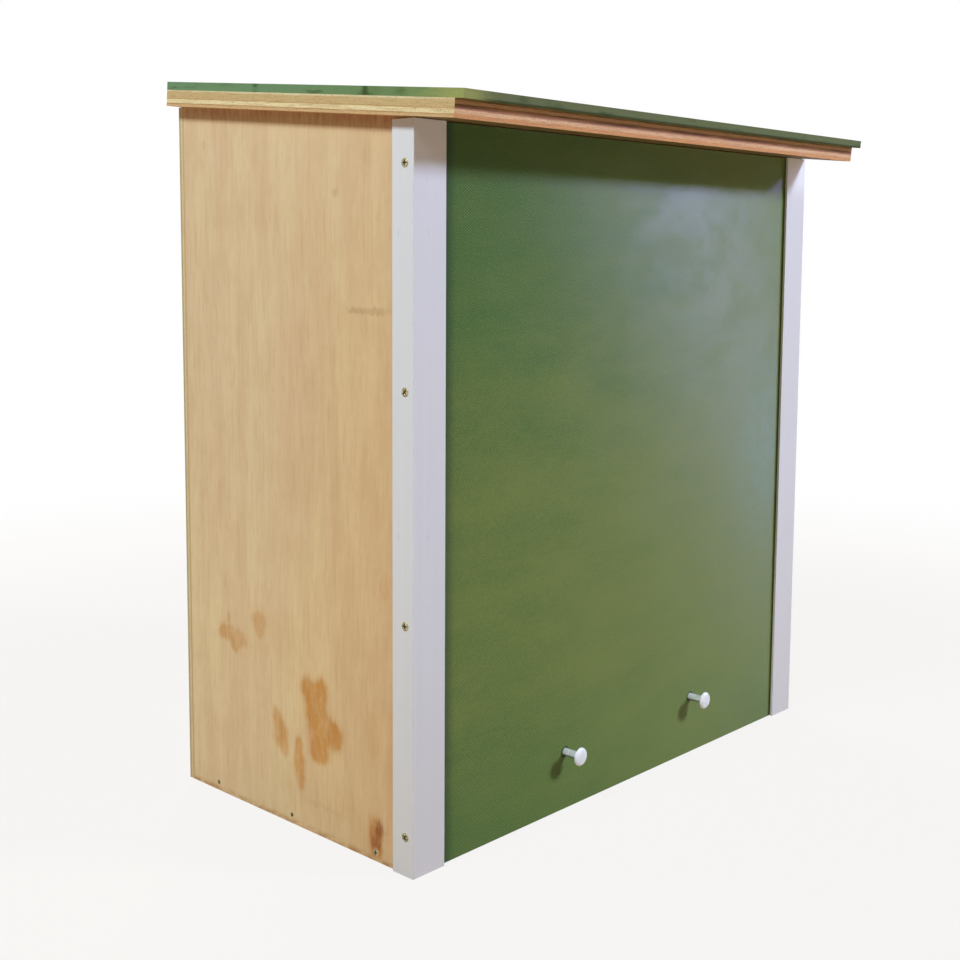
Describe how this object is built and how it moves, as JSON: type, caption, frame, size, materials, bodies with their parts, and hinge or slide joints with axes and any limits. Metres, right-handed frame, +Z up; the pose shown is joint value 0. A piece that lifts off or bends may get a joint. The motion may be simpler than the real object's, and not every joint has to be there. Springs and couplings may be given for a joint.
{
  "type": "pine marten den box",
  "caption": "Plywood den box for hanging on a tree, with a pitched roof, entrances through the back and a green front panel that slides down out of white corner angles.",
  "frame": {"origin": "middle of the box's footprint, on the underside of the floor", "axes": "+Z up, +Y from the front towards the back that lies on the tree, +X to the right seen from the front"},
  "size_m": [0.5, 0.3154, 0.552],
  "materials": {
    "plywood": "bare, weathered a little",
    "softwood": "sawn",
    "white_angle": "satin white",
    "green_sheet": "film-faced, edges painted green",
    "green_panel": "film-faced with a fine mesh, satin",
    "zinc": "zinc plated"
  },
  "bodies": {
    "den_box": {"left_wall": "plywood", "right_wall": "plywood", "back_panel": "plywood", "floor_panel": "plywood", "left_guide_batten": "softwood", "right_guide_batten": "softwood", "left_corner_angle": "white_angle", "right_corner_angle": "white_angle", "roof_board": "plywood", "roof_sheet": "green_sheet"},
    "sliding_front": {"front_panel": "green_panel", "left_pull": "zinc", "right_pull": "zinc"}
  },
  "joints": [
    {"name": "front_panel_slide", "type": "slide", "parent": "den_box", "child": "sliding_front", "axis": [0, 0, -1], "range_m": [0, 0.51]}
  ]
}
